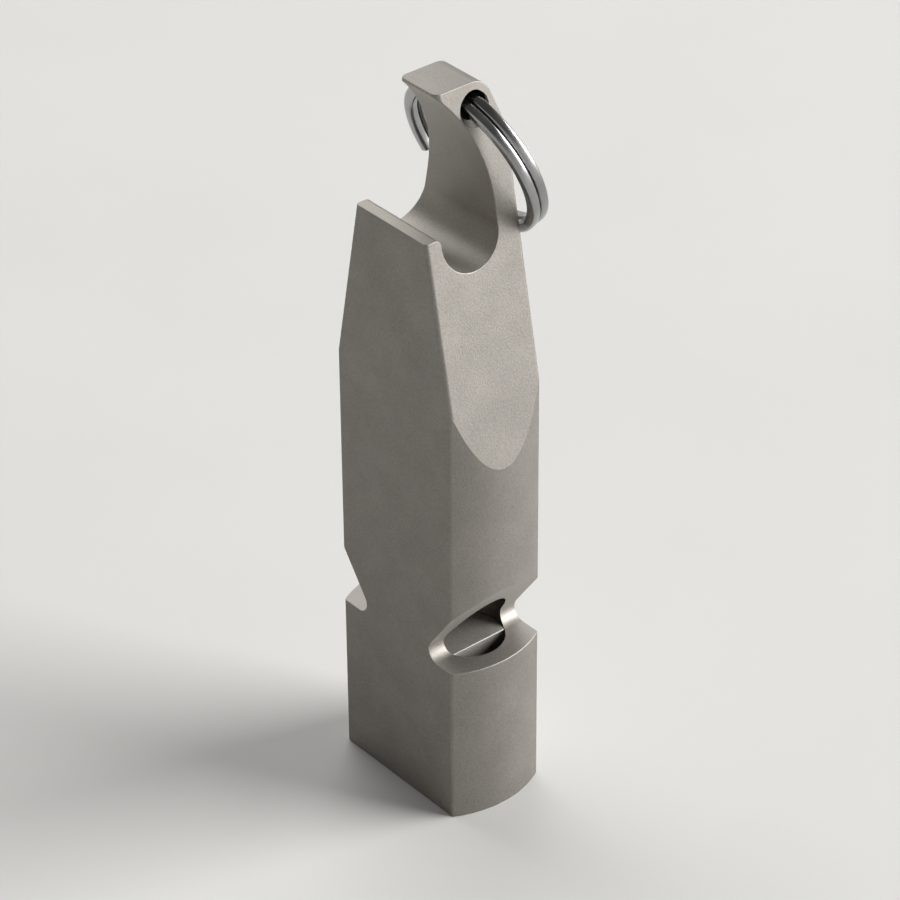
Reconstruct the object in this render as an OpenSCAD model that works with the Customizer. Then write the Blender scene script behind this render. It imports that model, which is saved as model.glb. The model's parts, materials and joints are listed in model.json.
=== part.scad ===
// Double-tube survival whistle with a hooked horn and a split ring.
// It is milled from one flat bar of titanium. Two chambers are drilled up from the mouth end, and a
// D-shaped plug pressed into each leaves the windway that blows across the V window in the side.
// The origin is the centre of the mouth end. +Z runs up the whistle, X across its width,
// and Y through its thickness, with the lip of the scoop on the -Y side.

/* [Bar] */
// Thickness over the two flats
body_t = 8; // [7.4:0.1:9]
// Width over the two rounded sides
body_w = 14; // [13.5:0.1:16.5]
// Radius of the rounded sides
side_r = 8; // [7:0.1:12]
// Height from the mouth end to the top of the horn
body_h = 55.8; // [52:0.1:62]
// Rounding of the long edges between the flats and the sides
edge_round = 0.3; // [0.1:0.05:0.6]

/* [Taper] */
// Height at which the tapered face leaves the rounded side
taper_z = 28.9; // [28.5:0.1:34]
// Angle of the tapered face to the whistle's length
taper_deg = 10.85; // [8:0.05:12]

/* [Scoop] */
// Height of the lip in front of the scoop
lip_z = 46.4; // [44:0.1:48]
// Thickness of the lip
lip_t = 1.3; // [1.1:0.05:1.8]
// Rounding of the lip's inner edge
lip_round = 0.5; // [0.2:0.05:0.8]
// Depth of the scoop below the lip
scoop_depth = 3.1; // [2.8:0.05:4]
// Height of the throat's lower end above the lip
throat_rise = 0.65; // [0.3:0.05:1.5]
// Thickness of the neck behind the scoop
neck_t = 1.9; // [1.6:0.05:2.4]

/* [Horn] */
// Radius of the horn's round back, which is centred on the ring hole
horn_r = 1.6; // [1.5:0.05:2]
// Distance from the back flat to the axis of the ring hole
hole_inset = 2.55; // [2.4:0.05:2.9]
// Wall between the ring hole and the throat
hole_wall = 0.38; // [0.2:0.01:0.5]
// Height of the horn's sloping back, below the top
horn_slope = 4.1; // [3.6:0.1:5]
// Thickness of the horn's blunt tip
tip_t = 0.2; // [0.1:0.05:0.4]
// Rounding of the two corners at the tip
tip_round = 0.5; // [0.1:0.05:0.8]
// Width of the chamfer round the mouths of the ring hole
hole_chamfer = 0.15; // [0.05:0.01:0.2]

/* [Chambers] */
// Diameter of each drilled chamber
bore_d = 5.3; // [4.8:0.05:5.6]
// Wall left between the two chambers
bore_web = 0.7; // [0.5:0.05:1]
// Height of the shoulder of the +X chamber
chamber_right_z = 30.6; // [26:0.1:31]
// Height of the shoulder of the -X chamber, shorter for the higher tone
chamber_left_z = 28; // [24:0.1:31]
// Point angle of the drill
drill_deg = 118; // [90:1:140]

/* [Windows] */
// Height of the floor of the windows
window_z = 12.7; // [11:0.1:15]
// Depth of the windows into the rounded side
window_depth = 3.55; // [3:0.05:3.8]
// Angle of the window's upper face to the floor
window_deg = 54.5; // [45:0.5:65]
// Radius in the bottom of the V
window_r = 0.9; // [0.3:0.05:1.1]

/* [Plugs] */
// Height of the windway between the plug's flat and the chamber wall
windway_h = 1.45; // [1:0.05:1.8]
// Radial clearance of the plug in the chamber
plug_fit = 0.02; // [0.01:0.01:0.05]
// Chamfer round both ends of the plug, which leads it into the chamber
plug_chamfer = 0.1; // [0.05:0.01:0.3]

/* [Split ring] */
// Outer diameter of the ring
ring_od = 12.4; // [11.6:0.1:14.6]
// Width of the wire, measured towards the ring's centre
wire_w = 0.8; // [0.6:0.05:0.9]
// Thickness of the wire, measured along the ring's axis
wire_t = 0.72; // [0.6:0.02:0.9]
// Rounding of the wire's edges
wire_round = 0.22; // [0.1:0.01:0.28]
// Gap between the two turns
turn_gap = 0.05; // [0.03:0.01:0.1]
// Arc over which the wire steps from one turn to the next
step_deg = 22; // [16:1:40]
// Clearance of the two turns in the ring hole
ring_play = 0.13; // [0.05:0.01:0.2]
// Gap between the resting ring and the whistle's back
ring_rest_gap = 0.05; // [0.02:0.01:0.2]

/* [Hidden] */
$fn = 96;
titanium = [0.66, 0.65, 0.62];
spring_steel = [0.78, 0.79, 0.81];
// How far a cutting shape reaches past what it cuts
past = 1;

// Half the width of the bar at height z, on the tapered faces
function half_width(z) = body_w / 2 - max(0, z - taper_z) * tan(taper_deg);
side_x = body_w / 2 - side_r;
// Where the rounding of a long edge is centred, and where it meets the rounded side
edge_x = side_x + sqrt(pow(side_r - edge_round, 2) - pow(body_t / 2 - edge_round, 2));
edge_y = body_t / 2 - edge_round;
edge_start = edge_y * side_r / (side_r - edge_round);

front_y = -body_t / 2;
back_y = body_t / 2;
neck_y = back_y - neck_t;
lip_y = front_y + lip_t;
scoop_r = (neck_y - lip_y) / 2;
scoop_y = (neck_y + lip_y) / 2;
scoop_z = lip_z - scoop_depth + scoop_r;
throat_z = lip_z + throat_rise;

// The ring's two turns, and the place of its centre that keeps them in the middle of the hole
ring_ro = ring_od / 2;
ring_ri = ring_ro - wire_w;
turn_pitch = wire_t + turn_gap;
ring_half_t = wire_t + turn_gap / 2;
hole_y = back_y - hole_inset;
hole_z = body_h - horn_r;
hole_mouth_x = half_width(hole_z - horn_r);
ring_mouth_r = sqrt(pow(ring_ri, 2) - pow(hole_mouth_x, 2));
ring_drop = (ring_ro + ring_mouth_r) / 2;
ring_half_w = (ring_ro - ring_mouth_r) / 2;
edge_relief = wire_round * (sqrt(2) - 1);
hole_r = norm([ring_half_t, ring_half_w]) - edge_relief + ring_play;

// The throat is an arc that leaves the neck upwards and passes the ring hole at hole_wall
throat_gap = hole_r + hole_wall;
throat_a = hole_y - neck_y;
throat_b = hole_z - throat_z;
throat_r = (pow(throat_a, 2) + pow(throat_b, 2) - pow(throat_gap, 2)) / (2 * (throat_gap - throat_a));
// The horn's tip is where the throat has come this close to the top, or at the front of a low horn
tip_chord = pow(throat_r, 2) - pow(body_h - tip_t - throat_z, 2);
tip_y = tip_chord > 0 ? max(front_y, neck_y - throat_r + sqrt(tip_chord)) : front_y;

// The horn's back slopes from here, tangent to its round end
slope_z = body_h - horn_slope;
slope_run = norm([back_y - hole_y, hole_z - slope_z]);
slope_deg = atan2(hole_z - slope_z, hole_y - back_y) - asin(horn_r / slope_run);
slope_len = sqrt(pow(slope_run, 2) - pow(horn_r, 2));
slope_end = [back_y + slope_len * cos(slope_deg), slope_z + slope_len * sin(slope_deg)];

bore_r = bore_d / 2;
bore_x = (bore_d + bore_web) / 2;
plug_x = bore_x + bore_r - windway_h;

// Centre of the rounding in the bottom of the V
window_cx = body_w / 2 - window_depth + window_r;
window_cz = window_z + window_r;

// The ring hangs behind the neck and leans on the back flat. Each point of its lower half that lies
// behind the flat asks for a lean, and the largest of these is taken. A point at s along the ring's
// plane is at s * fall below the hole, so the first answer gives the fall for the second.
function lean_at(s) =
    asin((back_y - hole_y + ring_rest_gap) / norm([s, ring_half_t])) + atan(ring_half_t / s);
function lean_for(fall) = max([
    for (r = [ring_ri, ring_ro], a = [0:1:90])
        let (x = r * cos(a), s = ring_drop + r * sin(a))
            x < half_width(hole_z - s * fall) ? lean_at(s) : 0
]);
ring_lean = lean_for(cos(lean_for(1)));

// Shapes of the bar
// The +X half of the bar's section: two flats, a rounded side, and the rounded edges between them
module half_section() {
    translate([0, front_y]) square([edge_x, body_t]);
    intersection() {
        translate([side_x, 0]) circle(r = side_r);
        translate([0, -edge_start]) square([body_w / 2 + past, 2 * edge_start]);
    }
    for (y = [-edge_y, edge_y]) translate([edge_x, y]) circle(r = edge_round);
}

// Moves a shape drawn against the YZ plane on to the +X tapered face
module on_taper() {
    translate([body_w / 2, 0, taper_z]) rotate([0, -taper_deg, 0]) children();
}

// The space behind the tapered face, with the rounding of the face's two long edges
module behind_taper() {
    reach = body_w + taper_z;
    on_taper()
        linear_extrude(2 * body_h, center = true) {
            translate([-reach, front_y]) square([reach - edge_round, body_t]);
            translate([-reach, -edge_y]) square([reach, 2 * edge_y]);
            for (y = [-edge_y, edge_y]) translate([-edge_round, y]) circle(r = edge_round);
        }
}

module half_bar() {
    intersection() {
        linear_extrude(body_h) half_section();
        behind_taper();
    }
}

// What the +X corner at the horn's tip loses to its rounding
module tip_corner() {
    on_taper()
        translate([-tip_round, tip_y + tip_round, hole_z - taper_z])
            linear_extrude(body_h - hole_z + past)
                difference() {
                    translate([0, -tip_round - past]) square(tip_round + past);
                    circle(r = tip_round);
                }
}

module horn_outline() {
    translate([front_y, 0]) square([hole_y - front_y, body_h]);
    translate([hole_y, hole_z]) circle(r = horn_r);
    polygon([[hole_y, 0], [back_y, 0], [back_y, slope_z], slope_end, [hole_y, hole_z]]);
}

module scoop_outline() {
    open_y = front_y - past;
    translate([scoop_y, scoop_z]) circle(r = scoop_r);
    translate([lip_y, scoop_z]) square([neck_y - lip_y, throat_z - scoop_z]);
    translate([open_y, lip_z]) square([neck_y - open_y, throat_z - lip_z]);
    intersection() {
        translate([neck_y - throat_r, throat_z]) circle(r = throat_r);
        translate([open_y, throat_z]) square([neck_y - open_y, body_h]);
    }
    translate([open_y, throat_z]) square([tip_y - open_y, body_h]);
    // Under a low horn the throat turns forward below the top, and opens to the front there
    if (neck_y - throat_r > open_y)
        translate([open_y, throat_z]) square([neck_y - throat_r - open_y, throat_r]);
    difference() {
        translate([lip_y - lip_round, lip_z - lip_round]) square(lip_round + past);
        translate([lip_y - lip_round, lip_z - lip_round]) circle(r = lip_round);
    }
}

// A shape drawn in X and Z, run through the thickness
module through_thickness() {
    rotate([90, 0, 0]) linear_extrude(body_t + 2 * past, center = true) children();
}

// A shape drawn in Y and Z, run through the width
module through_width() {
    rotate([90, 0, 90]) linear_extrude(body_w + 2 * past, center = true) children();
}

// One V window on the +X side, with its rounded bottom
module window_outline() {
    out_x = body_w / 2 + past;
    tip = [window_cx - window_r * sin(window_deg), window_cz + window_r * cos(window_deg)];
    translate([window_cx, window_cz]) circle(r = window_r);
    polygon([
        [window_cx, window_cz], [window_cx, window_z], [out_x, window_z],
        [out_x, tip.y + (out_x - tip.x) * tan(window_deg)], tip
    ]);
}

// A drilled chamber, with the drill's point at its closed end
module chamber(side, shoulder_z) {
    translate([side * bore_x, 0, 0]) {
        translate([0, 0, -past]) cylinder(h = shoulder_z + past, r = bore_r);
        translate([0, 0, shoulder_z]) cylinder(h = bore_r / tan(drill_deg / 2), r1 = bore_r, r2 = 0);
    }
}

module ring_hole() {
    translate([0, hole_y, hole_z]) rotate([0, 90, 0]) {
        cylinder(h = body_w, r = hole_r, center = true);
        for (side = [0, 180])
            rotate([side, 0, 0])
                translate([0, 0, half_width(hole_z) - hole_chamfer])
                    cylinder(h = past, r1 = hole_r, r2 = hole_r + past);
    }
}

module whistle_body() {
    color(titanium)
        difference() {
            intersection() {
                union() for (side = [0, 1]) mirror([side, 0, 0]) half_bar();
                through_width() horn_outline();
            }
            through_width() scoop_outline();
            for (side = [0, 180]) rotate([0, 0, side]) through_thickness() window_outline();
            chamber(1, chamber_right_z);
            chamber(-1, chamber_left_z);
            ring_hole();
            for (side = [0, 1]) mirror([side, 0, 0]) tip_corner();
        }
}

// The plug fills its chamber up to the window's floor, but for the windway along its flat
module windway_plug(side) {
    plug_r = bore_r - plug_fit;
    end_r = plug_r - plug_chamfer;
    color(titanium)
        rotate([0, 0, side > 0 ? 0 : 180])
            intersection() {
                translate([bore_x, 0, 0])
                    rotate_extrude()
                        polygon([
                            [0, 0], [end_r, 0], [plug_r, plug_chamfer],
                            [plug_r, window_z - plug_chamfer], [end_r, window_z], [0, window_z]
                        ]);
                translate([plug_x - bore_d, -bore_r, 0]) cube([bore_d, bore_d, window_z]);
            }
}

// Shapes of the split ring
// The wire's section has three points on each rounded corner.
wire_section = [
    for (corner = [[1, -1, 270], [1, 1, 0], [-1, 1, 90], [-1, -1, 180]], a = [0:45:90])
        [
            corner[0] * (wire_w / 2 - wire_round) + wire_round * cos(corner[2] + a),
            corner[1] * (wire_t / 2 - wire_round) + wire_round * sin(corner[2] + a)
        ]
];
turn_step = 6;
// Each end of the wire stops this far short of the step
end_gap_deg = 1;
wire_end = 720 - step_deg - end_gap_deg;
wire_angles = concat([for (a = [end_gap_deg:turn_step:wire_end - 1]) a], [wire_end]);
// The step is laid on the lower part of the ring's -X limb
step_place = 160;

// Offset of the wire along the ring's axis: one turn, a smooth step, and the other turn
function wire_offset(a) =
    let (t = min(1, max(0, (a - 360 + step_deg) / step_deg)))
        turn_pitch * (t * t * (3 - 2 * t) - 0.5);

module split_ring() {
    mid_r = (ring_ro + ring_ri) / 2;
    count = len(wire_section);
    last = len(wire_angles) - 1;
    points = [
        for (a = wire_angles, p = wire_section)
            [(mid_r + p.x) * cos(a), (mid_r + p.x) * sin(a), wire_offset(a) + p.y]
    ];
    sides = [
        for (i = [0:last - 1], j = [0:count - 1])
            let (k = (j + 1) % count)
                [i * count + j, i * count + k, (i + 1) * count + k, (i + 1) * count + j]
    ];
    first_end = [for (j = [count - 1:-1:0]) j];
    second_end = [for (j = [0:count - 1]) last * count + j];
    color(spring_steel)
        translate([0, hole_y, hole_z])
            rotate([ring_lean - 90, 0, 0])
                translate([0, ring_drop, 0])
                    rotate([0, 0, step_place])
                        polyhedron(points, concat(sides, [first_end, second_end]));
}

whistle_body();
windway_plug(1);  // windway_plug_right
windway_plug(-1);  // windway_plug_left
split_ring();
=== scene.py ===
"""The looks of a blasted titanium survival whistle and its split ring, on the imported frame."""
import json
import math

import bmesh
import bpy
from mathutils import Matrix, Vector


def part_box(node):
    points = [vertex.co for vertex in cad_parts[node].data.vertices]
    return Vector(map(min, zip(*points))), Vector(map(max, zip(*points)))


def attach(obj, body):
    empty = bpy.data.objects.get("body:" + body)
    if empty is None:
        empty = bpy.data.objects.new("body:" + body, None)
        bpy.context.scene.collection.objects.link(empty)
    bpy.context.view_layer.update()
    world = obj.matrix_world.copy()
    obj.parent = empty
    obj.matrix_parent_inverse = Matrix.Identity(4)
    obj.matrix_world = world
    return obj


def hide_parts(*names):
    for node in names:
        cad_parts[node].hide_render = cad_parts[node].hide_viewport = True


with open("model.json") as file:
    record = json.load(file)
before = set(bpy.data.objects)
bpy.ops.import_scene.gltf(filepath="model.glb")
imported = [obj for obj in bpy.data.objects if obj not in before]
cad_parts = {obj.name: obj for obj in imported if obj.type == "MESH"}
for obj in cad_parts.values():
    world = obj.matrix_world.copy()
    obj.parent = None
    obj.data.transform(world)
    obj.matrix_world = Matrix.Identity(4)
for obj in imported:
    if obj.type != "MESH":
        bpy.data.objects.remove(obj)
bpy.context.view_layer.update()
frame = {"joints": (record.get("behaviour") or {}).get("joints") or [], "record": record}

# Lengths are in metres, and angles in degrees where math.radians isn't written
MM = 0.001
# How far a cutting shape reaches past what it cuts, and how far it keeps off a face in its plane
PAST = 1 * MM
CLEAR = 0.001 * MM

# Bar, its outer sizes read from the frame
bar_low, bar_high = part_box("whistle_body")
WIDTH = bar_high.x - bar_low.x
THICKNESS = bar_high.y - bar_low.y
HEIGHT = bar_high.z
FRONT = -THICKNESS / 2
BACK = THICKNESS / 2
SIDE_RADIUS = 8 * MM
LONG_EDGE_ROUND = 0.3 * MM
TAPER_START = 28.9 * MM
TAPER_ANGLE = math.radians(10.85)

# Scoop and its lip
LIP_TOP = 46.4 * MM
LIP_THICKNESS = 1.3 * MM
LIP_ROUND = 0.5 * MM
SCOOP_DEPTH = 3.1 * MM
THROAT_START = LIP_TOP + 0.65 * MM
NECK_THICKNESS = 1.9 * MM
NECK_FRONT = BACK - NECK_THICKNESS
LIP_BACK = FRONT + LIP_THICKNESS
SCOOP_RADIUS = (NECK_FRONT - LIP_BACK) / 2

# Horn and the ring hole through it
HORN_RADIUS = 1.6 * MM
HORN_SLOPE_START = HEIGHT - 4.1 * MM
HOLE_Y, HOLE_Z = frame["joints"][0]["pos_m"][1:]
HOLE_RADIUS = 1.058 * MM
HOLE_WALL = 0.38 * MM
HOLE_CHAMFER = 0.15 * MM
TIP_THICKNESS = 0.2 * MM
TIP_ROUND = 0.5 * MM

# Chambers, windows and plugs
BORE_RADIUS = 2.65 * MM
BORE_X = 3 * MM
SHOULDERS = {1: 30.6 * MM, -1: 28 * MM}
DRILL_POINT_ANGLE = 118
DRILL_TIP = BORE_RADIUS / math.tan(math.radians(DRILL_POINT_ANGLE / 2))
WINDOW_FLOOR = 12.7 * MM
WINDOW_DEPTH = 3.55 * MM
WINDOW_ANGLE = 54.5
WINDOW_ROUND = 0.9 * MM
WINDWAY_HEIGHT = 1.45 * MM
PLUG_RADIUS = BORE_RADIUS - 0.02 * MM

# Split ring, hung where the record's ring_loop mount says
RING_DIAMETER = 12.4 * MM
WIRE_WIDTH = 0.8 * MM
WIRE_THICKNESS = 0.72 * MM
WIRE_ROUND = 0.22 * MM
TURN_PITCH = 0.77 * MM
# How far round the ring the wire takes to step from its first turn to its second
WIRE_STEP_ANGLE = 22
WINDING_POINTS = 361
# Turns the ring round its own axis, which puts the wire's ends clear of the horn
RING_TURNED = 160
ring_loop = next(m for m in frame["record"]["mounts"] if m["name"] == "ring_loop")

# Radius that tumbling and blasting left on the other edges of each kind of cut. Drilled edges
# stay crisp.
EDGE_ROUND = {
    "bead_blasted_titanium": 0.07 * MM,
    "blasted_scoop_painted_light_titanium": 0.07 * MM,
    "milled_window_titanium_with_painted_light": 0.09 * MM,
    "drilled_chamber_titanium": 0,
    "ring_hole_painted_shade_titanium": 0,
}
# Width of the plugs' edge rounding
PLUG_EDGE = 0.06 * MM
EDGE_SEGMENTS = 3
# Facets of a curved surface meet at less than this angle, and real edges at more
SHARP_FROM = math.radians(9.9)
PLUG_SHARP_FROM = math.radians(30)

# Degrees from point to point along each curve, and facets round each drilled surface
SIDE_STEP = 3
SMALL_ROUND_STEP = 7.5
HORN_STEP = 6
# Long enough for the rounding of the tip's corners to fall within the throat's last step
THROAT_STEP = 4.3
LIP_STEP = 9
SCOOP_STEP = 5
PLUG_STEP = 5
CHAMBER_FACETS = 72
HOLE_FACETS = 60

# Points nearer than this are one point, and faces that turn by less than this are one face
SAME_POINT = 0.0005 * MM
SAME_FACE = math.radians(0.2)


def linear(hex_colour):
    """The linear RGBA value of an sRGB hex colour, by sRGB's own curve."""
    parts = [int(hex_colour[i:i + 2], 16) / 255 for i in (1, 3, 5)]
    return (*[p / 12.92 if p <= 0.04045 else ((p + 0.055) / 1.055) ** 2.4 for p in parts], 1)


def per(millimetres):
    """A texture scale whose pattern repeats about once in this many millimetres."""
    return 1 / (millimetres * MM)


def add(tree, kind, settings=None, **inputs):
    """Adds a node with its settings, and feeds its sockets from values or from other sockets."""
    made = tree.nodes.new(kind)
    for name, value in (settings or {}).items():
        setattr(made, name, value)
    for name, value in inputs.items():
        key = int(name[1:]) if name[0] == "_" else name.replace("_", " ")
        if isinstance(value, bpy.types.NodeSocket):
            tree.links.new(value, made.inputs[key])
        else:
            made.inputs[key].default_value = value
    return made


def new_material(name):
    """An empty node material, with its tree."""
    material = bpy.data.materials.new(name)
    material.use_nodes = True
    tree = material.node_tree
    tree.nodes.clear()
    return material, tree


# Materials
# A wave texture of scale 1 draws this many bands to the metre
WAVE_BANDS = 20 / (2 * math.pi)
# Noise at or past these values gives the full shade and the full pale
NOISE_ENDS = {"From_Min": 0.3, "From_Max": 0.7}
# The clouds that handling leaves: their size in millimetres and their share of the tone
CLOUD_SIZE = 3.5
CLOUD_SHARE = 0.3
# How far the roughness varies up and down from dimple to dimple
ROUGHNESS_SPREAD = 0.05
# The ring's draw marks: their pitch and depth in millimetres, and their length in pitches
MARK_PITCH = 0.07
MARK_DEPTH = 0.004
MARK_LENGTH = 25
# The smears of wear on the ring, in millimetres
SMEAR_SIZE = 1.7
# The faint mottle of the floor's paint, in millimetres
MOTTLE_SIZE = 30


def titanium(name, shade, pale, roughness, grit, dimple, lines=None):
    """Bare titanium, matt and warm grey, with a fine grit of dimples and faint clouds.

    grit is the size of the dimples and dimple their depth, both in millimetres. Blasting beads
    leave dimples of about 0.1 mm, which are drawn a little coarser so that they show. lines is
    the pitch in millimetres of the rings that a cutter left, and their strength.
    """
    material, tree = new_material(name)
    place = add(tree, "ShaderNodeTexCoord").outputs["Object"]
    grains = add(tree, "ShaderNodeTexNoise",
                 Vector=place, Scale=per(grit), Detail=2.0, Roughness=0.7)
    clouds = add(tree, "ShaderNodeTexNoise",
                 Vector=place, Scale=per(CLOUD_SIZE), Detail=4.0, Roughness=0.6)
    speck = add(tree, "ShaderNodeMapRange", Value=grains.outputs["Fac"], **NOISE_ENDS)
    cloud = add(tree, "ShaderNodeMapRange", Value=clouds.outputs["Fac"], **NOISE_ENDS)
    share = add(tree, "ShaderNodeMix", {"data_type": "FLOAT"},
                Factor=CLOUD_SHARE, _2=speck.outputs[0], _3=cloud.outputs[0])
    colour = add(tree, "ShaderNodeMix", {"data_type": "RGBA"},
                 Factor=share.outputs[0], _6=linear(shade), _7=linear(pale))
    rough = add(tree, "ShaderNodeMapRange", Value=speck.outputs[0],
                To_Min=roughness - ROUGHNESS_SPREAD, To_Max=roughness + ROUGHNESS_SPREAD)
    height = grains.outputs["Fac"]
    if lines:
        pitch, strength = lines
        rings = add(tree, "ShaderNodeTexWave", {"bands_direction": "Z"},
                    Vector=place, Scale=per(pitch) / WAVE_BANDS, Distortion=0.6, Detail=1.0)
        height = add(tree, "ShaderNodeMath", {"operation": "MULTIPLY_ADD"},
                     _0=rings.outputs["Fac"], _1=strength, _2=height).outputs[0]
    bump = add(tree, "ShaderNodeBump", Height=height, Distance=dimple * MM, Strength=1.0)
    metal = add(tree, "ShaderNodeBsdfPrincipled", Base_Color=colour.outputs[2], Metallic=1.0,
                Roughness=rough.outputs[0], Normal=bump.outputs[0])
    add(tree, "ShaderNodeOutputMaterial", Surface=metal.outputs[0])
    return material


def spring_steel():
    """Spring steel wire, drawn and tumbled bright: it mirrors its surroundings in long streaks."""
    material, tree = new_material("polished_spring_steel")
    wire = add(tree, "ShaderNodeAttribute", {"attribute_name": "wire_place"}).outputs["Vector"]
    # The first coordinate runs along the wire
    drawn = add(tree, "ShaderNodeVectorMath", {"operation": "MULTIPLY"},
                _0=wire, _1=(1 / MARK_LENGTH, 1, 1))
    marks = add(tree, "ShaderNodeTexNoise",
                Vector=drawn.outputs[0], Scale=per(MARK_PITCH), Detail=2.0)
    smears = add(tree, "ShaderNodeTexNoise", Vector=wire, Scale=per(SMEAR_SIZE), Detail=3.0)
    tint = add(tree, "ShaderNodeMix", {"data_type": "RGBA"},
               Factor=smears.outputs["Fac"], _6=linear("#848485"), _7=linear("#b0b0af"))
    rough = add(tree, "ShaderNodeMapRange", Value=smears.outputs["Fac"],
                From_Min=0.3, From_Max=0.75, To_Min=0.16, To_Max=0.27)
    bump = add(tree, "ShaderNodeBump",
               Height=marks.outputs["Fac"], Distance=MARK_DEPTH * MM, Strength=0.6)
    metal = add(tree, "ShaderNodeBsdfPrincipled", Base_Color=tint.outputs[2], Metallic=1.0,
                Roughness=rough.outputs[0], Normal=bump.outputs[0])
    add(tree, "ShaderNodeOutputMaterial", Surface=metal.outputs[0])
    return material


def pale_board():
    """Board under matt paint, for the floor: pale and even, with hardly any shine."""
    material, tree = new_material("pale_painted_board")
    place = add(tree, "ShaderNodeTexCoord").outputs["Object"]
    mottle = add(tree, "ShaderNodeTexNoise", Vector=place, Scale=per(MOTTLE_SIZE), Detail=3.0)
    paint = add(tree, "ShaderNodeMix", {"data_type": "RGBA"},
                Factor=mottle.outputs["Fac"], _6=linear("#d0cfcc"), _7=linear("#d6d5d2"))
    board = add(tree, "ShaderNodeBsdfPrincipled", Base_Color=paint.outputs[2], Roughness=0.9,
                Specular_IOR_Level=0.2)
    add(tree, "ShaderNodeOutputMaterial", Surface=board.outputs[0])
    return material


TITANIUM = {finish.name: finish for finish in (
    # Blasted all over with glass beads: an even, warm grey without shine
    titanium("bead_blasted_titanium", "#7b7772", "#98948e",
             roughness=0.57, grit=0.13, dimple=0.013),
    # The same blasting inside the scoop, drawn a little paler as painted light: the paleness stands
    # in for light reaching the scoop's floor
    titanium("blasted_scoop_painted_light_titanium", "#8c8882", "#a7a39b",
             roughness=0.56, grit=0.13, dimple=0.012),
    # The V windows, where fewer beads reach, with shallower dimples. They are paler than the
    # outside partly for that finish and partly as painted light, which brightens the shaded floor
    # of each V
    titanium("milled_window_titanium_with_painted_light", "#918d88", "#aca8a2",
             roughness=0.6, grit=0.13, dimple=0.009),
    # The drilled chambers, which no bead reaches: smoother, with the rings of the drill, and in a
    # darker tone than the outside
    titanium("drilled_chamber_titanium", "#6f6b65", "#8c8881",
             roughness=0.42, grit=0.2, dimple=0.012, lines=(0.25, 0.5)),
    # The ring hole, the smoothest of all, drawn the darkest as painted shade for the shadow inside
    # it
    titanium("ring_hole_painted_shade_titanium", "#43413d", "#595651",
             roughness=0.4, grit=0.2, dimple=0.004),
)}
# The plugs, turned and milled but never blasted: brighter than the body around them, partly for
# that bare finish and partly as painted light on their tops, which lie in the chambers' shade
PLUG_TITANIUM_WITH_PAINTED_LIGHT = titanium("turned_titanium_with_painted_light", "#aca8a2", "#c8c4bd",
                         roughness=0.62, grit=0.15, dimple=0.012)
STEEL = spring_steel()


# Shapes
def arc(centre, radius, start, end, step):
    """Points along an arc from start to end, in degrees, no further apart than step."""
    count = math.ceil(abs(end - start) / step)
    turns = [math.radians(start + (end - start) * i / count) for i in range(count + 1)]
    return [(centre[0] + radius * math.cos(t), centre[1] + radius * math.sin(t)) for t in turns]


def to_space(along, u, v, s):
    """A point of an outline at (u, v), at s along an axis. Outlines keep X before Y before Z."""
    return {"X": (s, u, v), "Y": (u, s, v), "Z": (u, v, s)}[along]


def piece_from(shape, name, material):
    """An object from a bmesh, with its faces pointing outwards."""
    bmesh.ops.recalc_face_normals(shape, faces=shape.faces[:])
    mesh = bpy.data.meshes.new(name)
    shape.to_mesh(mesh)
    shape.free()
    mesh.materials.append(material)
    made = bpy.data.objects.new(name, mesh)
    bpy.context.scene.collection.objects.link(made)
    return made


def prism(outline, along, start, end, name="cutter", material=None):
    """A solid with the same outline from start to end along an axis."""
    shape = bmesh.new()
    ends = [[shape.verts.new(to_space(along, u, v, s)) for u, v in outline] for s in (start, end)]
    shape.faces.new(ends[0])
    shape.faces.new(ends[1])
    for i in range(len(outline)):
        shape.faces.new((ends[0][i - 1], ends[0][i], ends[1][i], ends[1][i - 1]))
    return piece_from(shape, name, material)


def turned(profile, along, centre, segments, material):
    """A solid of revolution round an axis through centre, from each radius and its place."""
    shape = bmesh.new()
    rings = []
    for radius, s in profile:
        circle = arc(centre, radius, 0, 360, 360 / segments)[:segments] if radius else [centre]
        rings.append([shape.verts.new(to_space(along, u, v, s)) for u, v in circle])
    for near, far in zip(rings, rings[1:]):
        for i in range(segments):
            corners = [near[i - 1], near[i]] if len(near) > 1 else [near[0]]
            corners += [far[i], far[i - 1]] if len(far) > 1 else [far[0]]
            shape.faces.new(corners)
    for ring in (rings[0], rings[-1]):
        if len(ring) > 1:
            shape.faces.new(ring)
    return piece_from(shape, "cutter", material)


def bake(piece):
    """Turns a piece's modifiers into its own mesh."""
    graph = bpy.context.evaluated_depsgraph_get()
    mesh = bpy.data.meshes.new_from_object(piece.evaluated_get(graph))
    piece.modifiers.clear()
    old = piece.data
    mesh.name = old.name
    piece.data = mesh
    bpy.data.meshes.remove(old)


def combine(piece, other, operation):
    """Cuts a piece by another, or keeps what they share, and removes the other."""
    step = piece.modifiers.new("combine", "BOOLEAN")
    step.operation = operation
    step.solver = "EXACT"
    step.material_mode = "TRANSFER"
    step.object = other
    bake(piece)
    bpy.data.objects.remove(other)


def half_width(z):
    """Half the width of the bar at a height, on the tapered faces."""
    return WIDTH / 2 - max(0, z - TAPER_START) * math.tan(TAPER_ANGLE)


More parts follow.
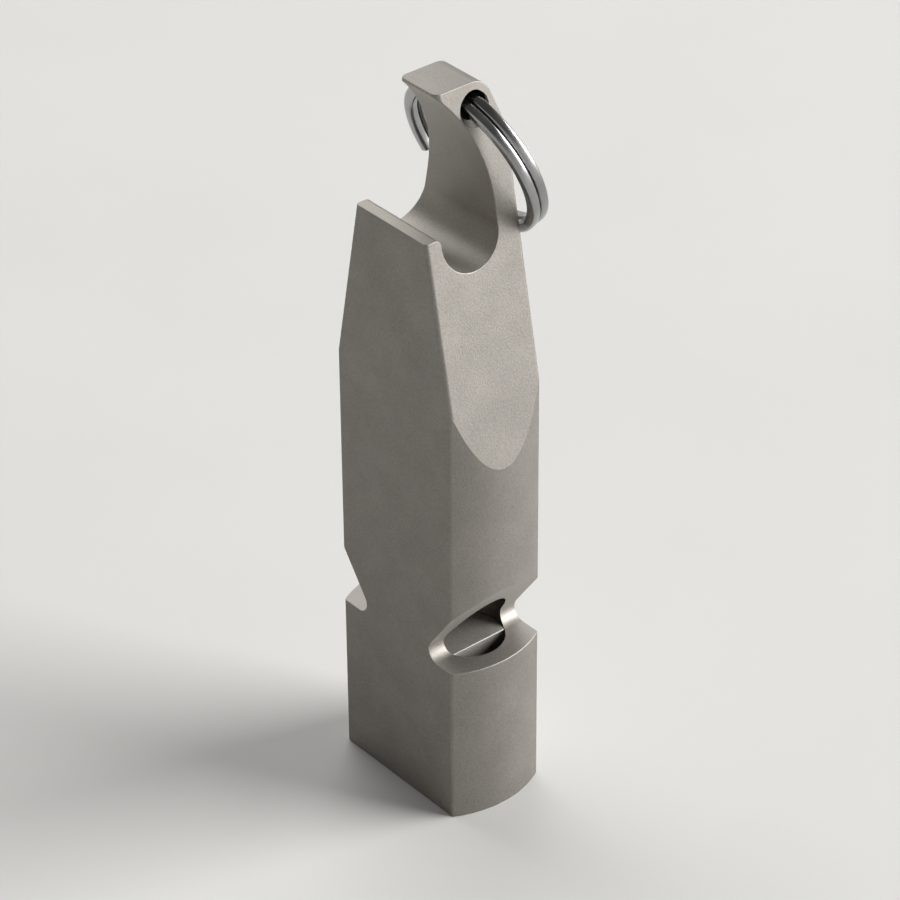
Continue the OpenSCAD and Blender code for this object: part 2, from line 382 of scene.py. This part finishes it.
def bar_section():
    """The bar's section: two flats, two rounded sides and the rounded edges, in X and Y."""
    centre_x, edge_y = WIDTH / 2 - SIDE_RADIUS, THICKNESS / 2 - LONG_EDGE_ROUND
    edge_angle = math.asin(edge_y / (SIDE_RADIUS - LONG_EDGE_ROUND))
    edge_x = centre_x + (SIDE_RADIUS - LONG_EDGE_ROUND) * math.cos(edge_angle)
    turn = math.degrees(edge_angle)
    right = arc((edge_x, -edge_y), LONG_EDGE_ROUND, -90, -turn, SMALL_ROUND_STEP)
    right += arc((centre_x, 0), SIDE_RADIUS, -turn, turn, SIDE_STEP)[1:-1]
    right += arc((edge_x, edge_y), LONG_EDGE_ROUND, turn, 90, SMALL_ROUND_STEP)
    return right + [(-x, -y) for x, y in right]


def on_taper(piece, side):
    """Moves a shape drawn against the YZ plane on to a tapered face."""
    tilt = Matrix.Rotation(-side * TAPER_ANGLE, 4, "Y")
    piece.data.transform(Matrix.Translation((side * WIDTH / 2, 0, TAPER_START)) @ tilt)
    return piece


def behind_taper(side, material):
    """The space behind a tapered face, with the rounding of the face's two long edges."""
    edge_y, reach = THICKNESS / 2 + CLEAR - LONG_EDGE_ROUND, WIDTH + TAPER_START
    outline = arc((-LONG_EDGE_ROUND, -edge_y), LONG_EDGE_ROUND, -90, 0, SMALL_ROUND_STEP)
    outline += arc((-LONG_EDGE_ROUND, edge_y), LONG_EDGE_ROUND, 0, 90, SMALL_ROUND_STEP)
    outline += [(-reach, BACK + CLEAR), (-reach, FRONT - CLEAR)]
    outline = [(side * x, y) for x, y in outline]
    return on_taper(prism(outline, "Z", -HEIGHT, HEIGHT, material=material), side)


def horn_outline():
    """The side view of the bar with the horn's round, sloping back, in Y and Z."""
    run_y, run_z = HOLE_Y - BACK, HOLE_Z - HORN_SLOPE_START
    slope = math.atan2(run_z, run_y) - math.asin(HORN_RADIUS / math.hypot(run_y, run_z))
    touch = math.degrees(slope) - 90
    horn = arc((HOLE_Y, HOLE_Z), HORN_RADIUS, touch, 90, HORN_STEP)
    return [(FRONT, 0), (BACK, 0), (BACK, HORN_SLOPE_START), *horn, (FRONT, HEIGHT)]


def throat_arc():
    """The throat leaves the neck upwards, passes close by the ring hole and ends at the tip."""
    gap = HOLE_RADIUS + HOLE_WALL
    reach, rise = HOLE_Y - NECK_FRONT, HOLE_Z - THROAT_START
    radius = (reach ** 2 + rise ** 2 - gap ** 2) / (2 * (gap - reach))
    tip_angle = math.degrees(math.asin((HEIGHT - TIP_THICKNESS - THROAT_START) / radius))
    return arc((NECK_FRONT - radius, THROAT_START), radius, 0, tip_angle, THROAT_STEP)


def scoop_outline():
    """What the cutter takes out between the lip and the horn, in Y and Z."""
    throat, top = throat_arc(), HEIGHT + PAST
    scoop_centre = ((NECK_FRONT + LIP_BACK) / 2, LIP_TOP - SCOOP_DEPTH + SCOOP_RADIUS)
    lip_centre = (LIP_BACK - LIP_ROUND, LIP_TOP - LIP_ROUND)
    return [
        (FRONT - PAST, LIP_TOP),
        *arc(lip_centre, LIP_ROUND, 90, 0, LIP_STEP),
        *arc(scoop_centre, SCOOP_RADIUS, 180, 360, SCOOP_STEP),
        *throat,
        (throat[-1][0], top),
        (FRONT - PAST, top),
    ]


def window_outline():
    """The V window on the +X side with its rounded bottom, in X and Z."""
    centre = (WIDTH / 2 - WINDOW_DEPTH + WINDOW_ROUND, WINDOW_FLOOR + WINDOW_ROUND)
    bottom = arc(centre, WINDOW_ROUND, WINDOW_ANGLE + 90, 270, SMALL_ROUND_STEP)
    out = WIDTH / 2 + PAST
    rise = (out - bottom[0][0]) * math.tan(math.radians(WINDOW_ANGLE))
    return [*bottom, (out, WINDOW_FLOOR), (out, bottom[0][1] + rise)]


def tip_corner(side, material):
    """What a corner at the horn's tip loses to its rounding."""
    tip = throat_arc()[-1][0]
    outline = arc((-TIP_ROUND, tip + TIP_ROUND), TIP_ROUND, 270, 360, SMALL_ROUND_STEP)
    outline += [(PAST, tip + TIP_ROUND), (PAST, tip - PAST), (-TIP_ROUND, tip - PAST)]
    outline = [(side * x, y) for x, y in outline]
    low, high = HOLE_Z - TAPER_START, HEIGHT + PAST - TAPER_START
    return on_taper(prism(outline, "Z", low, high, material=material), side)


def edge_rounding(piece):
    """Weighs each real edge for the radius of the finer of its two surfaces, or leaves it crisp."""
    shape = bmesh.new()
    shape.from_mesh(piece.data)
    bmesh.ops.remove_doubles(shape, verts=shape.verts[:], dist=SAME_POINT)
    bmesh.ops.dissolve_limit(shape, angle_limit=SAME_FACE, verts=shape.verts[:],
                             edges=shape.edges[:], delimit={"MATERIAL"})
    weight = shape.edges.layers.float.new("bevel_weight_edge")
    radii = [EDGE_ROUND[m.name] for m in piece.data.materials]
    for edge in shape.edges:
        turn = edge.calc_face_angle(0)
        if turn > SHARP_FROM:
            radius = min(radii[f.material_index] for f in edge.link_faces)
            edge[weight] = radius * math.sin(turn / 2) / max(radii)
            edge.smooth = radius > 0
    for face in shape.faces:
        face.smooth = True
    shape.to_mesh(piece.data)
    shape.free()


def round_edges(piece, width, method):
    """Rounds a piece's edges, with its large faces left flat."""
    step = piece.modifiers.new("rounded edges", "BEVEL")
    step.offset_type = "WIDTH"
    step.loop_slide = False
    step.width = width
    step.limit_method = method
    step.angle_limit = PLUG_SHARP_FROM
    step.segments = EDGE_SEGMENTS
    step.use_clamp_overlap = False
    # The small faces of the roundings take the shading, and the large ones stay flat
    piece.modifiers.new("flat faces", "WEIGHTED_NORMAL").keep_sharp = True
    bake(piece)


def whistle_body():
    """The milled body: a flat bar with its tapers, scoop, horn, windows, chambers and ring hole."""
    blasted = TITANIUM["bead_blasted_titanium"]
    wide, deep = WIDTH / 2 + PAST, THICKNESS / 2 + PAST
    body = prism(bar_section(), "Z", 0, HEIGHT, "whistle_body_finish", blasted)
    for side in (1, -1):
        combine(body, behind_taper(side, blasted), "INTERSECT")
    combine(body, prism(horn_outline(), "X", -wide, wide, material=blasted), "INTERSECT")
    # The scoop takes the paler titanium, whose paleness is painted light
    scoop = prism(scoop_outline(), "X", -wide, wide, material=TITANIUM["blasted_scoop_painted_light_titanium"])
    combine(body, scoop, "DIFFERENCE")
    for side in (1, -1):
        outline = [(side * x, z) for x, z in window_outline()]
        window = prism(outline, "Y", -deep, deep, material=TITANIUM["milled_window_titanium_with_painted_light"])
        combine(body, window, "DIFFERENCE")
        combine(body, tip_corner(side, blasted), "DIFFERENCE")
        shoulder = SHOULDERS[side]
        drill = [(BORE_RADIUS, -PAST), (BORE_RADIUS, shoulder), (0, shoulder + DRILL_TIP)]
        drilled = TITANIUM["drilled_chamber_titanium"]
        chamber = turned(drill, "Z", (side * BORE_X, 0), CHAMBER_FACETS, drilled)
        combine(body, chamber, "DIFFERENCE")
    rim = half_width(HOLE_Z) - HOLE_CHAMFER
    bit = [(HOLE_RADIUS + PAST, -rim - PAST), (HOLE_RADIUS, -rim),
           (HOLE_RADIUS, rim), (HOLE_RADIUS + PAST, rim + PAST)]
    # The hole's titanium is darkened as painted shade
    hole = turned(bit, "X", (HOLE_Y, HOLE_Z), HOLE_FACETS, TITANIUM["ring_hole_painted_shade_titanium"])
    combine(body, hole, "DIFFERENCE")
    edge_rounding(body)
    round_edges(body, 2 * max(EDGE_ROUND.values()), "WEIGHT")
    return body


def windway_plug(side, name):
    """A turned titanium plug with a flat milled along it, pressed into a chamber."""
    flat = BORE_RADIUS - WINDWAY_HEIGHT
    half_angle = math.degrees(math.acos(flat / PLUG_RADIUS))
    outline = arc((0, 0), PLUG_RADIUS, half_angle, 360 - half_angle, PLUG_STEP)
    placed = [(side * (BORE_X + x), y) for x, y in outline]
    plug = prism(placed, "Z", 0, WINDOW_FLOOR, name, PLUG_TITANIUM_WITH_PAINTED_LIGHT)
    for face in plug.data.polygons:
        face.use_smooth = True
    round_edges(plug, PLUG_EDGE, "ANGLE")
    return plug


def ring_tree():
    """Geometry nodes that wind a wire of rounded section into the two turns of a split ring."""
    tree = bpy.data.node_groups.new("split_ring_winding", "GeometryNodeTree")
    for name in ("Diameter", "Wire Width", "Wire Thickness", "Edge Rounding",
                 "Turn Pitch", "Step Angle"):
        tree.interface.new_socket(name, in_out="INPUT", socket_type="NodeSocketFloat")
    tree.interface.new_socket("Points", in_out="INPUT", socket_type="NodeSocketInt")
    tree.interface.new_socket("Material", in_out="INPUT", socket_type="NodeSocketMaterial")
    tree.interface.new_socket("Geometry", in_out="OUTPUT", socket_type="NodeSocketGeometry")
    given = add(tree, "NodeGroupInput").outputs

    # The wire's angle runs from 0 to two turns less the step
    last = add(tree, "ShaderNodeMath", {"operation": "SUBTRACT"}, _0=given["Points"], _1=1)
    end = add(tree, "ShaderNodeMath", {"operation": "SUBTRACT"},
              _0=4 * math.pi, _1=given["Step Angle"])
    angle = add(tree, "ShaderNodeMapRange", Value=add(tree, "GeometryNodeInputIndex").outputs[0],
                From_Max=last.outputs[0], To_Max=end.outputs[0]).outputs[0]
    # It moves over by one pitch in the step before its second turn starts
    step_start = add(tree, "ShaderNodeMath", {"operation": "SUBTRACT"},
                     _0=2 * math.pi, _1=given["Step Angle"])
    side = add(tree, "ShaderNodeMapRange", {"interpolation_type": "SMOOTHSTEP"}, Value=angle,
               From_Min=step_start.outputs[0], From_Max=2 * math.pi, To_Min=-0.5, To_Max=0.5)
    offset = add(tree, "ShaderNodeMath", {"operation": "MULTIPLY"},
                 _0=side.outputs[0], _1=given["Turn Pitch"])
    middle = add(tree, "ShaderNodeMath", {"operation": "SUBTRACT"},
                 _0=given["Diameter"], _1=given["Wire Width"])
    radius = add(tree, "ShaderNodeMath", {"operation": "MULTIPLY"}, _0=middle.outputs[0], _1=0.5)
    unturned = add(tree, "ShaderNodeCombineXYZ", X=radius.outputs[0], Z=offset.outputs[0])
    place = add(tree, "ShaderNodeVectorRotate", {"rotation_type": "Z_AXIS"},
                Vector=unturned.outputs[0], Angle=angle)
    line = add(tree, "GeometryNodeMeshLine", Count=given["Points"])
    wound = add(tree, "GeometryNodeSetPosition",
                Geometry=line.outputs[0], Position=place.outputs[0])
    path = add(tree, "GeometryNodeMeshToCurve", Mesh=wound.outputs[0])
    upright = add(tree, "GeometryNodeSetCurveNormal", {"mode": "Z_UP"}, Curve=path.outputs[0])
    length = add(tree, "GeometryNodeSplineParameter").outputs["Length"]
    kept_length = add(tree, "GeometryNodeStoreNamedAttribute",
                      {"data_type": "FLOAT", "domain": "POINT"},
                      Geometry=upright.outputs[0], Name="along", Value=length)
    section = add(tree, "GeometryNodeCurvePrimitiveQuadrilateral",
                  Width=given["Wire Width"], Height=given["Wire Thickness"])
    rounded = add(tree, "GeometryNodeFilletCurve", {"mode": "POLY"}, Curve=section.outputs[0],
                  Count=4, Radius=given["Edge Rounding"], Limit_Radius=True)
    kept_section = add(tree, "GeometryNodeStoreNamedAttribute",
                       {"data_type": "FLOAT_VECTOR", "domain": "POINT"},
                       Geometry=rounded.outputs[0], Name="across",
                       Value=add(tree, "GeometryNodeInputPosition").outputs[0])
    wire = add(tree, "GeometryNodeCurveToMesh", Curve=kept_length.outputs[0],
               Profile_Curve=kept_section.outputs[0], Fill_Caps=True)
    # Where each point lies along and across the wire, for the draw marks
    along = add(tree, "GeometryNodeInputNamedAttribute", {"data_type": "FLOAT"}, Name="along")
    across = add(tree, "GeometryNodeInputNamedAttribute",
                 {"data_type": "FLOAT_VECTOR"}, Name="across")
    parts = add(tree, "ShaderNodeSeparateXYZ", Vector=across.outputs[0])
    wire_place = add(tree, "ShaderNodeCombineXYZ",
                     X=along.outputs[0], Y=parts.outputs["X"], Z=parts.outputs["Y"])
    marked = add(tree, "GeometryNodeStoreNamedAttribute",
                 {"data_type": "FLOAT_VECTOR", "domain": "POINT"},
                 Geometry=wire.outputs[0], Name="wire_place", Value=wire_place.outputs[0])
    real = add(tree, "GeometryNodeRealizeInstances", Geometry=marked.outputs[0])
    painted = add(tree, "GeometryNodeSetMaterial",
                  Geometry=real.outputs[0], Material=given["Material"])
    add(tree, "NodeGroupOutput", Geometry=painted.outputs[0])
    return tree


def split_ring():
    """The split ring, wound by its tree and hung in the horn's hole."""
    ring = bpy.data.objects.new("split_ring_finish", bpy.data.meshes.new("split_ring_finish"))
    bpy.context.scene.collection.objects.link(ring)
    winding = ring.modifiers.new("winding", "NODES")
    winding.node_group = ring_tree()
    values = {
        "Diameter": RING_DIAMETER,
        "Wire Width": WIRE_WIDTH,
        "Wire Thickness": WIRE_THICKNESS,
        "Edge Rounding": WIRE_ROUND,
        "Turn Pitch": TURN_PITCH,
        "Step Angle": math.radians(WIRE_STEP_ANGLE),
        "Points": WINDING_POINTS,
        "Material": STEEL,
    }
    for item in winding.node_group.interface.items_tree:
        if item.name in values:
            winding[item.identifier] = values[item.name]
    bake(ring)
    for face in ring.data.polygons:
        face.use_smooth = len(face.vertices) == 4
    axis = Vector(ring_loop["axis"])
    lean = Matrix.Rotation(math.atan2(axis.z, axis.y) - math.pi / 2, 4, "X")
    turn = Matrix.Rotation(math.radians(RING_TURNED), 4, "Z")
    ring.data.transform(Matrix.Translation(Vector(ring_loop["pos_m"])) @ lean @ turn)
    return ring


def dress(piece, body, node):
    """Lets a finished piece ride its body in place of the CAD node."""
    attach(piece, body)
    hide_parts(node)


dress(whistle_body(), "whistle", "whistle_body")
dress(windway_plug(1, "plug_right_finish"), "whistle", "windway_plug_right")
dress(windway_plug(-1, "plug_left_finish"), "whistle", "windway_plug_left")
dress(split_ring(), "ring", "split_ring")


# Stage, camera and light
FLOOR_SIZE = 6.0
CAMERA_PLACE = Vector((167.2, -138.5, 172)) * MM
CAMERA_TARGET = Vector((0.33, 0.7, 26.7)) * MM
CAMERA_LENS = 151.1
CAMERA_ROLL = math.radians(-0.43)
LAMP_DISTANCE = 2.5


def floor():
    """A pale board that the whistle stands on."""
    half = FLOOR_SIZE / 2
    shape = bmesh.new()
    shape.faces.new([shape.verts.new(p) for p in
                     ((-half, -half, 0), (half, -half, 0), (half, half, 0), (-half, half, 0))])
    piece_from(shape, "floor", pale_board())


def camera():
    """The photograph's view: from above the front right, with a long lens."""
    view = (CAMERA_TARGET - CAMERA_PLACE).normalized()
    right = view.cross(Vector((0, 0, 1))).normalized()
    up = right.cross(view)
    facing = Matrix((right, up, -view)).transposed().to_4x4()
    lens = bpy.data.cameras.new("camera")
    lens.lens = CAMERA_LENS
    lens.clip_start = 0.01
    made = bpy.data.objects.new("camera", lens)
    roll = Matrix.Rotation(CAMERA_ROLL, 4, "Z")
    made.matrix_world = Matrix.Translation(CAMERA_PLACE) @ facing @ roll
    bpy.context.scene.collection.objects.link(made)
    bpy.context.scene.camera = made


def softbox(name, azimuth, elevation, size, watts):
    """A square soft light that faces the whistle's middle, its azimuth counted from +X to +Y."""
    light = bpy.data.lights.new(name, "AREA")
    light.size = size
    light.energy = watts
    made = bpy.data.objects.new(name, light)
    around, up = math.radians(azimuth), math.radians(elevation)
    away = Vector((math.cos(around) * math.cos(up), math.sin(around) * math.cos(up), math.sin(up)))
    place = Vector((0, 0, HEIGHT / 2)) + away * LAMP_DISTANCE
    facing = away.to_track_quat("Z", "Y").to_matrix().to_4x4()
    made.matrix_world = Matrix.Translation(place) @ facing
    bpy.context.scene.collection.objects.link(made)


def studio_world():
    """A pale room with a dim ceiling, seen by the camera and in reflections, and a faint fill."""
    world = bpy.data.worlds.new("studio")
    world.use_nodes = True
    tree = world.node_tree
    tree.nodes.clear()
    rays = add(tree, "ShaderNodeLightPath").outputs
    seen = add(tree, "ShaderNodeMath", {"operation": "MAXIMUM"},
               _0=rays["Is Camera Ray"], _1=rays["Is Glossy Ray"])
    shown = add(tree, "ShaderNodeMath", {"operation": "MAXIMUM"},
                _0=seen.outputs[0], _1=rays["Is Transmission Ray"])
    way = add(tree, "ShaderNodeTexCoord").outputs["Generated"]
    height = add(tree, "ShaderNodeSeparateXYZ", Vector=way)
    upward = add(tree, "ShaderNodeMapRange", {"interpolation_type": "SMOOTHSTEP"},
                 Value=height.outputs["Z"], From_Min=0.1, From_Max=0.7)
    wall = add(tree, "ShaderNodeMix", {"data_type": "RGBA"}, Factor=upward.outputs[0],
               _6=linear("#d8d8d6"), _7=linear("#585857"))
    room = add(tree, "ShaderNodeBackground", Color=wall.outputs[2], Strength=1.0)
    fill = add(tree, "ShaderNodeBackground", Color=linear("#ffffff"), Strength=0.05)
    mixed = add(tree, "ShaderNodeMixShader",
                _0=shown.outputs[0], _1=fill.outputs[0], _2=room.outputs[0])
    add(tree, "ShaderNodeOutputWorld", Surface=mixed.outputs[0])
    bpy.context.scene.world = world


floor()
camera()
studio_world()
softbox("key", azimuth=51, elevation=21, size=1.9, watts=136)
softbox("top", azimuth=160, elevation=45, size=2.4, watts=48)
bpy.context.scene.view_settings.view_transform = "Standard"
